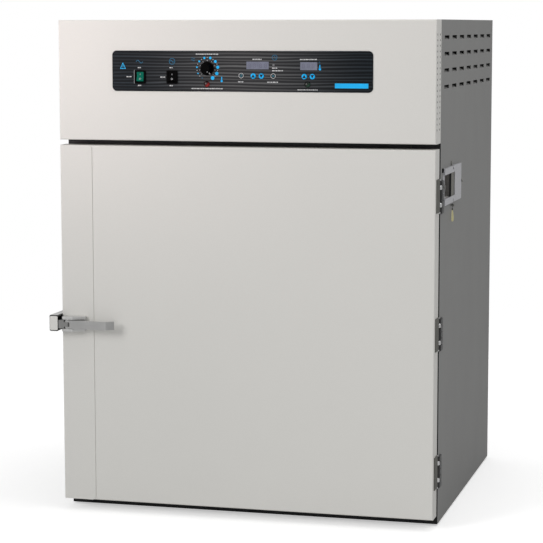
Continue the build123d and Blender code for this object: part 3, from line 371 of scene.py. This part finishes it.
# side vent and its tag: black front edge of the shutter, dark cord above the card
SHUTTER_EDGE, CORD_LENGTH = 1.9 * MM, 16.0 * MM
shutter_edge = (BLACK, ("y", -FAR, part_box("vent_shutter")[0].y + SHUTTER_EDGE))
tag_cord = (DARK, ("z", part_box("service_tag")[1].z - CORD_LENGTH, FAR))

# the panel's film is lightest a little to the right of its middle
FILM_SHIFT, FILM_HALF_WIDTH = 0.01, 0.31

# painted shade: the front of the door's insulation is black, so the seam in the door reads dark
SHADE_DEPTH = 0.3 * MM

materials = {
    "light_paint": paint("light_paint", LIGHT, 900, 0.42, LIGHT_RUB_AND_HIGHLIGHT),
    "grey_paint": paint("grey_paint", GREY, 900, 0.50, GREY_RUB_AND_HIGHLIGHT, handled=0.04, zones=[panel_edge]),
    "black_paint": paint("black_paint", (0.013, 0.013, 0.014), 700, 0.38, (0.05, 0.05, 0.05)),
    "stainless": metal("stainless", (0.60, 0.60, 0.60), 0.30, (0.02, 0.4, 1), worn=(0.75, 0.75, 0.75)),
    "galvanised": spangled(),
    "wool": fibre(),
    "shelf_wire": metal("shelf_wire", (0.70, 0.70, 0.68), 0.22, grain=500),
    "steel_pin": metal("steel_pin", (0.80, 0.80, 0.80), 0.14, grain=900, depth=0.00001),
    "aluminium_cast": metal("aluminium_cast", (0.52, 0.53, 0.54), 0.5, grain=500, depth=0.0001),
    "black_plastic": plastic("black_plastic", (0.0008, 0.0008, 0.0010), 0.5, specular_ior_level=0.035),
    "overlay": printed_film(middle("control_overlay").x + FILM_SHIFT, FILM_HALF_WIDTH),
    "green_rocker": lit_rocker(),
    "lamp_lens": lamp_lens(lamps, LENS_RADIUS),
    "display_filter": display_filter(),
    "button_white": plastic("button_white", (0.012, 0.013, 0.016), 0.4),
    "button_blue": plastic("button_blue", BLUE, 0.35, emission_color=BLUE,
                           emission_strength=BLUE_GLOW),
    "board_green": circuit_board(),
    "silicone": plastic("silicone", (0.30, 0.30, 0.29), 0.62, grain=300, depth=0.00005),
    "foot_rubber": plastic("foot_rubber", (0.025, 0.025, 0.025), 0.7, grain=400, depth=0.00008),
    "hinge_grey": metal("hinge_grey", (0.125, 0.124, 0.108), 0.48, (1, 1, 0.1), 500,
                        worn=(0.30, 0.30, 0.28), metallic=0.5, zones=hinge_zones),
}

# nodes that look different from the others of their material
own_look = {
    "hood": paint("hood_paint", LIGHT, 900, 0.42, LIGHT_RUB_AND_HIGHLIGHT, zones=shaded_hole_walls),
    "door_insulation": fibre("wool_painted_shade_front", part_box("door_insulation")[0].y + SHADE_DEPTH),
    "latch_handle": metal("handle_satin", (0.455, 0.455, 0.45), 0.42, (0.03, 1, 1), 800,
                          worn=(0.70, 0.70, 0.69), metallic=0.35),
    "latch_base": metal("base_satin", (0.70, 0.70, 0.69), 0.36, (0.05, 0.3, 1), 400,
                        worn=(0.80, 0.80, 0.79), metallic=0.5),
    # painted shade: the tongue is darker than the other latch metal for the shadow it sits in between strike and
    # base
    "latch_tongue": metal("tongue_satin_painted_shade", (0.28, 0.28, 0.275), 0.42, (0.03, 1, 1), 800,
                          worn=(0.52, 0.52, 0.51), metallic=0.35),
    "latch_strike": metal("strike_satin", (0.86, 0.86, 0.85), 0.40, (1, 0.1, 1), 700,
                          worn=(0.80, 0.80, 0.79), metallic=0.15, zones=strike_zones),
    "strike_roller": metal("roller_steel", (0.10, 0.10, 0.10), 0.45, grain=700, metallic=0.5),
    "vent_plate": metal("vent_stainless", (0.61, 0.61, 0.64), 0.38, (1, 0.05, 1), 700,
                        worn=(0.72, 0.72, 0.75), metallic=0.4),
    "vent_shutter": metal("shutter_steel", (0.215, 0.210, 0.188), 0.45, (1, 0.05, 1), 700,
                          worn=(0.34, 0.34, 0.31), metallic=0.4, zones=[shutter_edge]),
    # painted light: the sleeve glows faintly, though it holds no lamp, so its shaded inside reads lighter
    "vent_sleeve": metal("sleeve_steel_painted_glow", (0.55, 0.54, 0.53), 0.6, (0.05, 1, 1), 600, metallic=0.1,
                         emission_color=(0.020, 0.019, 0.018), emission_strength=1.0),
    "vent_screws": metal("dull_screw", (0.30, 0.30, 0.28), 0.35, grain=900, depth=0.00001),
    "service_tag": plastic("tag_cord_card", (0.95, 0.88, 0.50), 0.6, grain=500, depth=0.00003,
                           zones=[tag_cord]),
}
for row in frame["record"]["subparts"]:
    for place in nodes[row["node"]].material_slots:
        place.material = own_look.get(row["node"]) or materials[row["material_slot"]]

# ---------------------------------------------------------------- printed marks and small trim
# ink stands proud of the printed face and reaches a little below it; an inlay reaches deeper
INK_PROUD, INK_SUNK, INLAY = 0.12 * MM, 0.10 * MM, 0.50 * MM
ink = {
    "blue": plastic("ink_blue", BLUE, 0.4, emission_color=BLUE, emission_strength=BLUE_GLOW),
    "faint": plastic("ink_faint_blue", (0.008, 0.13, 0.25), 0.45),
    "white": plastic("ink_white", (0.60, 0.61, 0.62), 0.45),
    "sign": plastic("ink_sign", (0.035, 0.22, 0.30), 0.45),
    "pale": plastic("ink_pale", (0.36, 0.365, 0.375), 0.45),
    "black": plastic("ink_black", (0.006, 0.006, 0.008), 0.4),
    "ghost": plastic("ink_ghost", (0.120, 0.122, 0.175), 0.4),
}


def facing(origin):
    """Frame of a print on a surface that faces the front: u is +X, v is +Z, w is out of the surface."""
    return Matrix(((1, 0, 0, origin[0]), (0, 0, -1, origin[1]), (0, 1, 0, origin[2]), (0, 0, 0, 1)))


def front_of(node):
    """Frame of a print in the middle of a node's front."""
    centre = middle(node)
    return facing((centre.x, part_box(node)[0].y, centre.z))


def circle(u, v, radius, count=28):
    steps = (2 * math.pi * i / count for i in range(count))
    return [(u + radius * math.sin(a), v + radius * math.cos(a)) for a in steps]


# a shape is its outer loop and the loop of its hole, or None where it has no hole
def disc(u, v, radius):
    return circle(u, v, radius), None


def ring(u, v, radius, width):
    return circle(u, v, radius), circle(u, v, radius - width)


def plate(*points):
    return list(points), None


def bar(u, v, width, height):
    return plate((u - width / 2, v - height / 2), (u + width / 2, v - height / 2),
                 (u + width / 2, v + height / 2), (u - width / 2, v + height / 2))


def stroke(points, width):
    """Outline of a line of some width through the points."""
    left, right = [], []
    for i, (u, v) in enumerate(points):
        before, after = points[max(i - 1, 0)], points[min(i + 1, len(points) - 1)]
        du, dv = after[0] - before[0], after[1] - before[1]
        size = math.hypot(du, dv) * 2 / width
        left.append((u - dv / size, v + du / size))
        right.append((u + dv / size, v - du / size))
    return left + right[::-1], None


def turned(shape, u, v, degrees):
    """The same shape turned clockwise about a point."""
    c, s = math.cos(math.radians(degrees)), math.sin(math.radians(degrees))
    return tuple(
        loop and [(u + (a - u) * c + (b - v) * s, v - (a - u) * s + (b - v) * c) for a, b in loop]
        for loop in shape
    )


def print_on(name, body, look, shapes, sunk=INK_SUNK):
    """One piece of thin raised ink; each entry of shapes is a frame and a shape in millimetres."""
    mesh = bmesh.new()
    for place, (outer, inner) in shapes:
        rings = []
        for loop in (outer, inner):
            if loop:
                for w in (INK_PROUD, -sunk):
                    rings.append([mesh.verts.new(place @ Vector((u * MM, v * MM, w))) for u, v in loop])
        count = len(outer)
        if inner:
            pairs = ((rings[0], rings[2]), (rings[2], rings[3]), (rings[3], rings[1]), (rings[1], rings[0]))
        else:
            pairs = ((rings[0], rings[1]),)
            mesh.faces.new(rings[0])
            mesh.faces.new(rings[1][::-1])
        for first, second in pairs:
            for i in range(count):
                j = (i + 1) % count
                mesh.faces.new((first[i], first[j], second[j], second[i]))
    bmesh.ops.recalc_face_normals(mesh, faces=mesh.faces)
    return place_piece(name, mesh, body, look)


def place_piece(name, mesh, body, look):
    data = bpy.data.meshes.new(name)
    mesh.to_mesh(data)
    mesh.free()
    data.materials.append(look)
    piece = bpy.data.objects.new(name, data)
    scene.collection.objects.link(piece)
    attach(piece, body)
    return piece


overlay_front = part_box("control_overlay")[0].y
overlay_centre = middle("control_overlay")
panel = front_of("control_overlay")


def on_panel(x, z):
    """A point of the cabinet in the panel's own millimetres."""
    return (x - overlay_centre.x) / MM, (z - overlay_centre.z) / MM


def at(node):
    """The middle of a node in the panel's own millimetres."""
    centre = middle(node)
    return on_panel(centre.x, centre.z)


marks = {"blue": [], "faint": [], "white": [], "pale": []}

# scale round the over-temperature dial: dots that grow clockwise, with small white dots between
DIAL_RADIUS, DIAL_START, DIAL_SPAN, DIAL_DOTS = 26.0, -150.0, 300.0, 10
DOT_FIRST, DOT_GROWTH, SMALL_DOT, TICK_RADIUS = 2.6, 6.4, 0.9, 19.2
dial_u, dial_v = at("limit_knob")


def on_dial(position):
    """Angle and place of a mark on the dial's scale, which runs from 0 to 1."""
    angle = math.radians(DIAL_START + DIAL_SPAN * position)
    return angle, dial_u + DIAL_RADIUS * math.sin(angle), dial_v + DIAL_RADIUS * math.cos(angle)


for i in range(DIAL_DOTS):
    step = i / (DIAL_DOTS - 1)
    _, u, v = on_dial(step)
    shade = "faint" if i < 1 else "blue"
    marks[shade].append(disc(u, v, (DOT_FIRST + DOT_GROWTH * step) / 2))
for i in range(DIAL_DOTS - 1):
    angle, u, v = on_dial((i + 0.5) / (DIAL_DOTS - 1))
    marks["white"].append(disc(u, v, SMALL_DOT))
    tick = bar(dial_u, dial_v + TICK_RADIUS, 0.9, 2.2)
    marks["white"].append(turned(tick, dial_u, dial_v, math.degrees(angle)))


# pictograms: caution, mains, heat, set point, clock and thermometers
def triangle(u, v, width, height):
    return [(u - width / 2, v), (u + width / 2, v), (u, v + height)]


CAUTION_U, CAUTION_V = -294.0, 4.8
marks["blue"].append((triangle(CAUTION_U, CAUTION_V, 14.4, 15.4),
                      triangle(CAUTION_U, CAUTION_V + 1.1, 11.0, 11.6)))
marks["blue"].append(bar(CAUTION_U, CAUTION_V + 6.6, 1.3, 4.6))
marks["blue"].append(disc(CAUTION_U, CAUTION_V + 2.6, 0.8))


def sine(u, v, width, height, line):
    """One period of a wavy line."""
    steps = 18
    points = [(u - width / 2 + width * i / steps, v + height * math.sin(2 * math.pi * i / steps))
              for i in range(steps + 1)]
    return stroke(points, line)


rocker_one, rocker_two = at("power_rocker"), at("heat_rocker")
marks["faint"].append(sine(rocker_one[0] - 2, rocker_one[1] + 36, 17, 3.2, 1.3))
marks["faint"].append(ring(rocker_two[0], rocker_two[1] + 37, 7.6, 1.2))
marks["faint"].append(sine(rocker_two[0], rocker_two[1] + 37, 9.5, 2.2, 1.2))
for step in (-1, 1):
    marks["faint"].append(sine(dial_u - 36, dial_v + 22 + 2.4 * step, 9, 1.4, 1.1))


def thermometer(u, v, shade):
    marks[shade].append(disc(u, v - 4.5, 2.7))
    marks[shade].append(bar(u, v + 0.6, 2.2, 8.4))
    marks[shade].append(disc(u, v + 4.8, 1.1))


WINDOW_WIDTHS = (54.4, 41.2)
window_low, window_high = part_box("display_windows")
timer_window_start = on_panel(window_low.x, 0)[0]
timer_window_end = timer_window_start + WINDOW_WIDTHS[0]
temp_window_end = on_panel(window_high.x, 0)[0]
window_v = on_panel(0, middle("display_windows").z)[1]
thermometer(dial_u + 35.5, dial_v - 25.1, "blue")
thermometer(temp_window_end + 6.2, window_v - 3.0, "blue")
marks["faint"].append(ring(temp_window_end + 5.2, window_v + 8.2, 1.7, 0.7))
clock_u, clock_v = timer_window_start + 69, window_v + 19.5
marks["faint"].append(ring(clock_u, clock_v, 6.6, 1.1))
marks["faint"].append(stroke([(clock_u, clock_v + 4.5), (clock_u, clock_v),
                              (clock_u + 3.5, clock_v - 1.9)], 1.0))
marks["pale"].append(ring(timer_window_end + 11.8, window_v + 2.0, 2.2, 0.8))

# bracket line beside the lit rocker, and the plain bar in the panel's lower right corner
BRACKET_INNER, BRACKET_OUTER = 14.4, 15.6
CORNER_BAR_U, CORNER_BAR_V, CORNER_BAR_WIDTH, CORNER_BAR_HEIGHT = 269.8, -32.9, 80.2, 11.4
marks["pale"].append(stroke([(rocker_one[0] - BRACKET_INNER, rocker_one[1] + BRACKET_OUTER),
                             (rocker_one[0] - BRACKET_OUTER, rocker_one[1] + BRACKET_OUTER),
                             (rocker_one[0] - BRACKET_OUTER, rocker_one[1] - BRACKET_OUTER),
                             (rocker_one[0] - BRACKET_INNER, rocker_one[1] - BRACKET_OUTER)], 0.9))
marks["blue"].append(bar(CORNER_BAR_U, CORNER_BAR_V, CORNER_BAR_WIDTH, CORNER_BAR_HEIGHT))


# plain broken rules stand where the real panel has words
DASHES, DASH_GAP = (4.6, 2.2, 3.4, 5.8, 1.8, 3.0, 4.2, 2.6), 1.1


def rule(u, v, width, height=1.9):
    used, i = 0.0, 0
    while used + DASHES[i % len(DASHES)] <= width:
        dash = DASHES[i % len(DASHES)]
        marks["white"].append(bar(u - width / 2 + used + dash / 2, v, dash, height))
        used += dash + DASH_GAP
        i += 1


rule(dial_u, dial_v + 34.0, 57, height=2.3)
rule(dial_u - 0.5, dial_v - 47.7, 78, height=2.3)
rule(rocker_one[0] - 26.2, rocker_one[1], 18, height=2.2)
rule(rocker_two[0] - 22.0, rocker_two[1] - 0.5, 15.5, height=2.4)
for rocker in (rocker_one, rocker_two):
    rule(rocker[0] - 2.2, rocker[1] + 21.8, 8.5, height=2.4)
    rule(rocker[0] - 2.2, rocker[1] - 20.8, 8.5, height=2.4)
rule((timer_window_start + timer_window_end) / 2, window_v + 15.2, 24.5, height=2.4)
rule(temp_window_end - WINDOW_WIDTHS[1] / 2, window_v + 15.2, 43, height=2.2)
for key, width in (("timer_reset_button", 15.5), ("timer_start_button", 30)):
    rule(at(key)[0], at(key)[1] - 14.7, width, height=2.4)
up_key_u, up_key_v = at("temperature_up_button")
rule(up_key_u + 8.8, up_key_v - 31.2, 50)
rule(timer_window_end + 16.1, window_v - 5.3, 15.5, height=2.4)
rule(timer_window_end + 22.0, window_v - 11.4, 27, height=2.4)

for shade, shapes in marks.items():
    print_on("panel_marks_" + shade, "cabinet", ink[shade], [(panel, s) for s in shapes])

# pointer on the dial: a dot on its cap and a line on its skirt
POINTER_TURN, SKIRT_FRONT = 150.0, 4.8 * MM
knob_face = front_of("limit_knob")
knob_centre = middle("limit_knob")
knob_skirt = facing((knob_centre.x, overlay_front - SKIRT_FRONT, knob_centre.z))
print_on("dial_pointer", "limit_dial", ink["white"],
         [(knob_face, turned(bar(0, 9.1, 1.4, 2.0), 0, 0, POINTER_TURN)),
          (knob_skirt, turned(bar(0, 13.6, 2.2, 3.4), 0, 0, POINTER_TURN))])

# keys: arrows on the blue ones, rings and small signs on the others
KEY_BODIES = {
    "timer_up_button": ("timer_up_key", 0),
    "timer_down_button": ("timer_down_key", 180),
    "temperature_up_button": ("temperature_up_key", 0),
    "temperature_down_button": ("temperature_down_key", 180),
}
for node, (body, turn) in KEY_BODIES.items():
    face = front_of(node)
    arrow = turned((triangle(0, -3.7, 8.8, 8.2), None), 0, 0, turn)
    print_on(node.replace("button", "arrow"), body, ink["black"], [(face, arrow)])
for node, body in (("timer_reset_button", "timer_reset_key"), ("timer_start_button", "timer_start_key")):
    face = front_of(node)
    print_on(node.replace("button", "ring"), body, ink["white"],
             [(face, ring(0, 0, 6.15, 1.0))], sunk=INLAY)
    if "reset" in node:
        sign = [ring(0, 0, 2.9, 0.7), stroke([(-1.6, -1.6), (2.6, 2.6)], 0.8)]
    else:
        sign = [bar(-1.5, 0, 0.9, 4.6), bar(0.5, 0, 0.9, 4.6), bar(2.3, 0, 0.6, 4.6)]
    print_on(node.replace("button", "sign"), body, ink["sign"], [(face, s) for s in sign])

# on and off signs on the two halves of each rocker
PADDLE_MID, PADDLE_END = (-6.4, 0.0), (-8.4, 11.0)  # y and z from the rocker's pivot, in mm
TILT = math.radians(-9.0)


def half_face(pivot, sign):
    """Frame of the upper (1) or lower (-1) half of a rocker's face, at rest."""
    def spun(y, z):
        return Vector((0, (y * math.cos(TILT) - z * math.sin(TILT)) * MM,
                       (y * math.sin(TILT) + z * math.cos(TILT)) * MM))
    inner, outer = spun(*PADDLE_MID), spun(PADDLE_END[0], sign * PADDLE_END[1])
    centre = pivot + (inner + outer) / 2
    up = ((outer - inner) * sign).normalized()
    across = Vector((1, 0, 0))
    out = across.cross(up)
    return Matrix.Translation(centre) @ Matrix((across, up, out)).transposed().to_4x4()


for joint_name, body, slot, shade in (
    ("power_rocker_tilt", "power_switch", "green_rocker", "pale"),
    ("heat_rocker_tilt", "heat_switch", "black_plastic", "white"),
):
    pivot = Vector(joints[joint_name]["pos_m"])
    signs = [(half_face(pivot, 1), bar(0, 0, 0.8, 3.6)), (half_face(pivot, -1), ring(0, 0, 2.2, 0.75))]
    print_on(body + "_signs", body, ink[shade], signs)


# light cap on the strike's front, inside its dark rim
def rounded(u, v, width, height, radius, count=6):
    """Rectangle with rounded corners."""
    points = []
    for corner, (su, sv) in enumerate(((1, 1), (-1, 1), (-1, -1), (1, -1))):
        for i in range(count + 1):
            a = math.pi / 2 * (corner + i / count)
            points.append((u + su * (width / 2 - radius) + radius * math.cos(a),
                           v + sv * (height / 2 - radius) + radius * math.sin(a)))
    return points, None


CAP_WIDTH, CAP_HEIGHT, CAP_RADIUS = 19.9, 34.6, 3.0
print_on("strike_cap", "cabinet", materials["light_paint"],
         [(front_of("latch_strike"), rounded(0.0, 0.0, CAP_WIDTH, CAP_HEIGHT, CAP_RADIUS))], sunk=INLAY)

# black spring clip beside the upper front corner of the vent's plate
# its profile: how far forward of the plate, and how far out from the side panel
CLIP_PROFILE = ((0, 0), (8.6, 0), (8.6, 0.9), (6.4, 1.3), (5.2, 3.0), (3.2, 3.4), (1.8, 2.4), (1.2, 0.9),
                (0, 0.9))
CLIP_GAP, CLIP_BELOW, CLIP_ABOVE = 1.6, 8.5 * MM, 1.5 * MM
vent_low, vent_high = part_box("vent_plate")
panel_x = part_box("side_panel_right")[1].x
clip = bmesh.new()


def clip_ring(z):
    return [clip.verts.new((panel_x + out * MM, vent_low.y - (CLIP_GAP + forward) * MM, z))
            for forward, out in CLIP_PROFILE]


clip_rings = clip_ring(vent_high.z - CLIP_BELOW), clip_ring(vent_high.z + CLIP_ABOVE)
clip.faces.new(clip_rings[0])
clip.faces.new(clip_rings[1][::-1])
for i in range(len(CLIP_PROFILE)):
    j = (i + 1) % len(CLIP_PROFILE)
    clip.faces.new((clip_rings[0][i], clip_rings[0][j], clip_rings[1][j], clip_rings[1][i]))
bmesh.ops.recalc_face_normals(clip, faces=clip.faces)
place_piece("vent_clip", clip, "cabinet", materials["black_plastic"])

# unlit digits behind the display filters: seven bones each, placed and turned about the digit's middle
SEGMENTS = ((0, 4.6, 0), (0, 0, 0), (0, -4.6, 0), (-2.6, 2.3, 90), (2.6, 2.3, 90), (-2.6, -2.3, 90),
            (2.6, -2.3, 90))
BONE_HALF, BONE_TIP = 1.9, 0.5
BONE = plate((-BONE_HALF, 0), (-BONE_HALF + BONE_TIP, BONE_TIP), (BONE_HALF - BONE_TIP, BONE_TIP),
             (BONE_HALF, 0), (BONE_HALF - BONE_TIP, -BONE_TIP), (-BONE_HALF + BONE_TIP, -BONE_TIP))
TIMER_DIGITS, TEMPERATURE_DIGITS = (-19.5, -7.5, 7.5, 19.5), (-12.5, -1.0, 10.5)


def digit(u, v):
    shapes = []
    for du, dv, turn in SEGMENTS:
        outline, _ = turned(BONE, 0, 0, turn)
        shapes.append(([(a + u + du, b + v + dv) for a, b in outline], None))
    return shapes


window_face = facing((0, window_low.y, 0))
ghosts = []
timer_mid = window_low.x / MM + WINDOW_WIDTHS[0] / 2
temp_mid = window_high.x / MM - WINDOW_WIDTHS[1] / 2
level = middle("display_windows").z / MM
for offset in TIMER_DIGITS:
    ghosts += digit(timer_mid + offset, level)
for offset in TEMPERATURE_DIGITS:
    ghosts += digit(temp_mid + offset, level)
ghosts += [disc(timer_mid, level + 2.2, 0.6), disc(timer_mid, level - 2.2, 0.6),
           disc(temp_mid + 5.0, level - 4.6, 0.6)]
print_on("display_digits", "cabinet", ink["ghost"], [(window_face, s) for s in ghosts])

# ---------------------------------------------------------------- floor and light
FLOOR_RADIUS, FADE_START, FADE_END = 60.0, 1.3, 3.6
FLOOR_LIFT = 0.45  # glow of the floor for the camera only, which makes it almost white
floor_mesh = bmesh.new()
bmesh.ops.create_circle(floor_mesh, cap_ends=True, radius=FLOOR_RADIUS, segments=64)
floor_data = bpy.data.meshes.new("floor")
floor_mesh.to_mesh(floor_data)
floor_mesh.free()
floor = bpy.data.objects.new("floor", floor_data)
scene.collection.objects.link(floor)
floor_look = Look("floor")
distance = floor_look.add("VectorMath", {0: floor_look.place}, output="Value", operation="LENGTH")
near = floor_look.add("MapRange", {"Value": distance, "From Min": FADE_START, "From Max": FADE_END,
                                   "To Min": 1.0, "To Max": 0.0}, interpolation_type="SMOOTHSTEP")
ground = floor_look.mix(floor_look.noise(1.5), (0.90, 0.90, 0.90), (0.93, 0.93, 0.93))
floor_look.bump(floor_look.noise(200), 0.0002)
seen_by_eye = floor_look.add("LightPath", output="Is Camera Ray")
ground = floor_look.mix(seen_by_eye, (0.70, 0.70, 0.70), ground)
lift = floor_look.math("MULTIPLY", seen_by_eye, FLOOR_LIFT)
floor_look.finish(ground, 0.9, specular_ior_level=0.0, alpha=near, emission_color=(1.0, 1.0, 1.0),
                  emission_strength=lift)
floor_data.materials.append(floor_look.material)

# white room: full strength where the camera sees it, less as a light
SKY_LIGHT, SKY_SEEN = 0.42, 1.0
world = bpy.data.worlds.new("studio")
scene.world = world
world.use_nodes = True
tree = world.node_tree
sky = tree.nodes["Background"]
seen = tree.nodes.new("ShaderNodeLightPath").outputs["Is Camera Ray"]
strength = tree.nodes.new("ShaderNodeMapRange")
tree.links.new(seen, strength.inputs["Value"])
strength.inputs["To Min"].default_value = SKY_LIGHT
strength.inputs["To Max"].default_value = SKY_SEEN
tree.links.new(strength.outputs[0], sky.inputs["Strength"])
sky.inputs["Color"].default_value = (1.0, 1.0, 1.0, 1.0)


def aim(data, name, place, target):
    """Adds a light at a place, shining towards a target."""
    lamp = bpy.data.objects.new(name, data)
    lamp.location = place
    lamp.rotation_mode = "QUATERNION"
    lamp.rotation_quaternion = (Vector(place) - Vector(target)).to_track_quat("Z", "Y")
    scene.collection.objects.link(lamp)


def softbox(name, place, target, size, power):
    data = bpy.data.lights.new(name, "AREA")
    data.size = size
    data.energy = power
    aim(data, name, place, target)


def spotlight(name, place, target, degrees, power, color):
    data = bpy.data.lights.new(name, "SPOT")
    data.spot_size = math.radians(degrees)
    data.spot_blend = 1.0
    data.shadow_soft_size = 0.4
    data.energy = power
    data.color = color
    aim(data, name, place, target)


def far_window(name, place, target, degrees, strength):
    data = bpy.data.lights.new(name, "SUN")
    data.angle = math.radians(degrees)
    data.energy = strength
    aim(data, name, place, target)


# key from the front left, fills from the right, the front and above, and a faintly pink spot
# close to the hood's left end
far_window("key", (-0.84, -1.0, 0.56), (0.0, 0.0, 0.0), 24.0, 0.92)
softbox("side", (2.4, -1.0, 2.6), (0.465, 0.0, 1.1), 1.5, 10.0)
softbox("front", (0.2, -4.4, 0.3), (0.0, -0.43, 0.6), 3.0, 18.0)
softbox("top", (0.5, 0.6, 4.2), (0.2, 0.0, 0.8), 2.5, 40.0)
spotlight("corner", (-1.04, -1.37, 1.16), (-0.46, -0.43, 1.6), 109.0, 30.0, (1.0, 0.86, 0.86))
